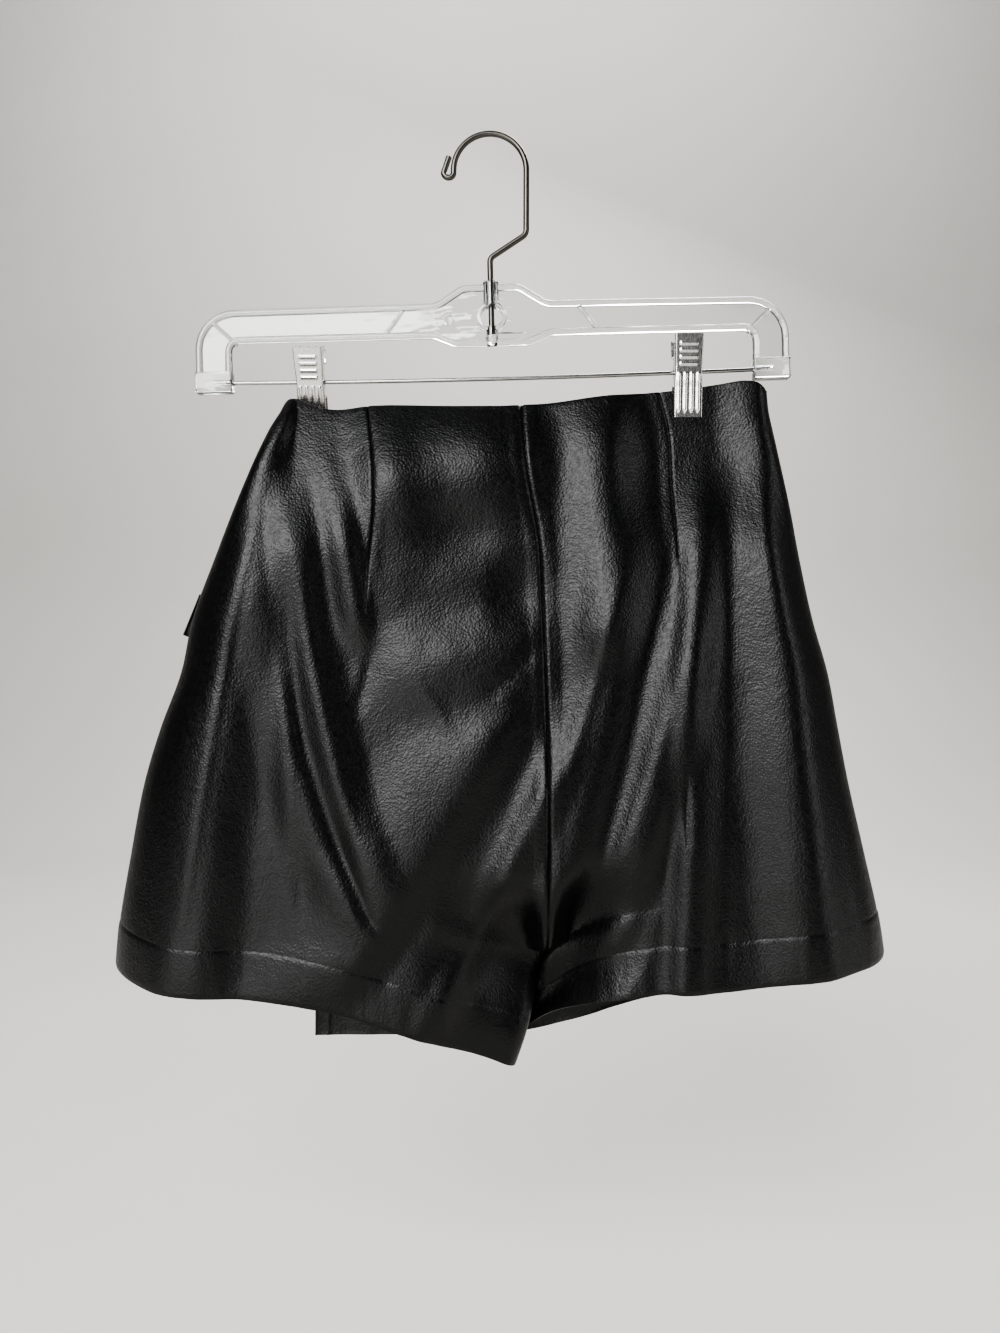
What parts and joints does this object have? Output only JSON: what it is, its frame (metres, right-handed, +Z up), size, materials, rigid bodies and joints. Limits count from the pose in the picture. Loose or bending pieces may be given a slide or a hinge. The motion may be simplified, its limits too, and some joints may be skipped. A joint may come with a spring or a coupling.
{
  "type": "wrap skort on clip hanger",
  "caption": "Black coated-cloth skort with a wrap front, hung by its waist from a clear clip hanger, seen from behind.",
  "frame": {"origin": "inside top of the hanger's hook, where a rail or nail carries it", "axes": "+Z up, +X to the wearer's right, +Y towards the wall that the garment's front faces; its back faces -Y"},
  "size_m": [0.4598, 0.079, 0.5524],
  "materials": {
    "coated_cloth": "soft sheen, fine pebble grain",
    "clear_plastic": "clear moulded",
    "dark_wire": "dark nickel plated",
    "chrome_sheet": "stamped and chromed",
    "steel": "drawn wire"
  },
  "bodies": {
    "root": {"back_left": "coated_cloth", "back_right": "coated_cloth", "front_left": "coated_cloth", "front_right": "coated_cloth", "wrap_panel": "coated_cloth", "strap_tab": "coated_cloth", "hanger_frame": "clear_plastic", "hanger_hook": "dark_wire", "hanger_rod": "steel", "clip_left_front_jaw": "chrome_sheet", "clip_left_back_jaw": "chrome_sheet", "clip_right_front_jaw": "chrome_sheet", "clip_right_back_jaw": "chrome_sheet", "clip_left_spring": "steel", "clip_right_spring": "steel"}
  },
  "joints": []
}
